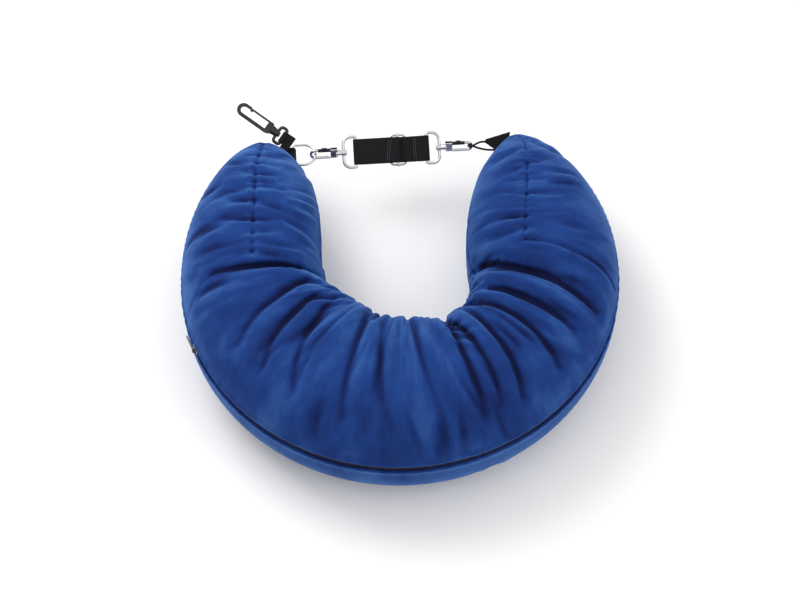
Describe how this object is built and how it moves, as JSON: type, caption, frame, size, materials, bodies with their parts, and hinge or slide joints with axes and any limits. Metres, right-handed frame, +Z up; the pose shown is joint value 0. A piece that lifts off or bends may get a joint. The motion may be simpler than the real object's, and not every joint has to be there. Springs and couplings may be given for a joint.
{
  "type": "u shaped neck pillow",
  "caption": "Soft U shaped travel neck pillow with a zipped edge, and a webbing strap with swivel hooks that joins its two tips.",
  "frame": {"origin": "centre of the U's round outer edge in plan, on the plane the pillow rests on", "axes": "+Z up from the resting plane, +Y from the back of the neck towards the two tips, +X towards the arm without the plastic clip"},
  "size_m": [0.4152, 0.4002, 0.123],
  "materials": {
    "velour": "royal blue velour plush",
    "filling": "polyester fibre filling",
    "zip_tape": "woven tape",
    "zip_coil": "moulded coil",
    "zip_metal": "black enamel",
    "webbing": "black woven webbing",
    "thread": "black thread",
    "chrome": "bright plated",
    "black_metal": "gloss black",
    "steel": "plain",
    "black_plastic": "moulded acetal",
    "cord": "braided elastic cord"
  },
  "bodies": {
    "pillow_back": {"back_upper_panel": "velour", "back_lower_panel": "velour", "back_filling": "filling", "zip_upper_tape": "zip_tape", "zip_lower_tape": "zip_tape", "zip_upper_coil": "zip_coil", "zip_lower_coil": "zip_coil", "zip_end_stops": "zip_coil"},
    "left_arm": {"left_arm_base_panel": "velour", "left_arm_inner_panel": "velour", "left_arm_outer_panel": "velour", "left_arm_lower_panel": "velour", "left_arm_filling": "filling", "left_end_tab": "webbing", "clip_tab": "webbing"},
    "right_arm": {"right_arm_base_panel": "velour", "right_arm_inner_panel": "velour", "right_arm_outer_panel": "velour", "right_arm_lower_panel": "velour", "right_arm_filling": "filling", "right_end_tab": "webbing", "cord_loop": "cord"},
    "d_ring": {"d_ring": "chrome"},
    "left_hook": {"left_hook": "chrome", "left_gate_pin": "steel", "left_gate_spring": "steel"},
    "left_gate": {"left_gate": "black_metal"},
    "left_strap": {"left_swivel_loop": "chrome", "strap_left_loop": "webbing", "strap_return_layer": "webbing"},
    "adjuster": {"slider_frame": "chrome", "slider_bar": "chrome", "strap_sewn_end": "webbing", "slider_stitching": "thread"},
    "right_link": {"right_hook": "chrome", "right_gate_pin": "steel", "right_gate_spring": "steel"},
    "right_gate": {"right_gate": "black_metal"},
    "right_strap": {"right_swivel_loop": "chrome", "strap_run": "webbing", "strap_stitching": "thread"},
    "clip_base": {"clip_base": "black_plastic"},
    "clip_hook": {"clip_hook": "black_plastic"},
    "clip_gate": {"clip_gate": "black_plastic"},
    "zip_slider": {"zip_slider": "zip_metal"},
    "zip_pull": {"zip_pull": "zip_metal"}
  },
  "joints": [
    {"name": "arms_open", "type": "hinge", "parent": "pillow_back", "child": "left_arm", "pos_m": [-0.203, -0.043, 0.06], "axis": [0, 0, 1], "range_deg": [0, 3]},
    {"name": "right_arm_open", "type": "hinge", "parent": "pillow_back", "child": "right_arm", "pos_m": [0.203, -0.043, 0.06], "axis": [0, 0, 1], "range_deg": [-3, 0]},
    {"name": "left_link_yaw", "type": "hinge", "parent": "left_arm", "child": "left_hook", "pos_m": [-0.0745, 0.147, 0.064], "axis": [0, 0, 1], "range_deg": [-3, 0]},
    {"name": "right_link_yaw", "type": "hinge", "parent": "right_arm", "child": "right_link", "pos_m": [0.0745, 0.147, 0.064], "axis": [0, 0, 1], "range_deg": [0, 3]},
    {"name": "left_swivel", "type": "hinge", "parent": "left_hook", "child": "left_strap", "pos_m": [-0.047, 0.147, 0.064], "axis": [1, 0, 0], "continuous": true},
    {"name": "right_swivel", "type": "hinge", "parent": "right_link", "child": "right_strap", "pos_m": [0.047, 0.147, 0.064], "axis": [1, 0, 0], "continuous": true},
    {"name": "adjuster_slide", "type": "slide", "parent": "left_strap", "child": "adjuster", "axis": [1, 0, 0], "range_m": [-0.0196, 0], "deforming": ["strap_return_layer"]},
    {"name": "left_gate_hinge", "type": "hinge", "parent": "left_hook", "child": "left_gate", "pos_m": [-0.0575, 0.14827, 0.06748], "axis": [0, -0.9397, 0.342], "range_deg": [0, 16]},
    {"name": "right_gate_hinge", "type": "hinge", "parent": "right_link", "child": "right_gate", "pos_m": [0.0575, 0.14827, 0.06748], "axis": [0, 0.9397, -0.342], "range_deg": [0, 16]},
    {"name": "d_ring_swing", "type": "hinge", "parent": "left_arm", "child": "d_ring", "pos_m": [-0.096, 0.147, 0.064], "axis": [0, 1, 0], "range_deg": [-2.5, 2.5]},
    {"name": "clip_tilt", "type": "hinge", "parent": "left_arm", "child": "clip_base", "pos_m": [-0.1049, 0.1602, 0.0763], "axis": [-0.6225, -0.6778, -0.3913], "range_deg": [-40, 40]},
    {"name": "clip_swivel", "type": "hinge", "parent": "clip_base", "child": "clip_hook", "pos_m": [-0.1049, 0.1602, 0.0763], "axis": [-0.7826, 0.5391, 0.3113], "continuous": true},
    {"name": "clip_gate_flex", "type": "hinge", "parent": "clip_hook", "child": "clip_gate", "pos_m": [-0.11681, 0.17394, 0.08423], "axis": [0, -0.5, 0.866], "range_deg": [0, 9]},
    {"name": "zip_run", "type": "hinge", "parent": "pillow_back", "child": "zip_slider", "pos_m": [0, 0, 0.074], "axis": [0, 0, 1], "range_deg": [0, 139]},
    {"name": "zip_pull_swing", "type": "hinge", "parent": "zip_slider", "child": "zip_pull", "pos_m": [-0.19747, -0.07109, 0.074], "axis": [0, 0, 1], "range_deg": [0, 155]}
  ],
  "couplings": [
    {"joint": "right_arm_open", "follows": "arms_open", "ratio": -1},
    {"joint": "left_link_yaw", "follows": "arms_open", "ratio": -1},
    {"joint": "right_link_yaw", "follows": "arms_open", "ratio": 1},
    {"joint": "adjuster_slide", "follows": "arms_open", "m_per_rad": -0.3724},
    {"joint": "right_swivel", "follows": "left_swivel", "ratio": 1}
  ]
}
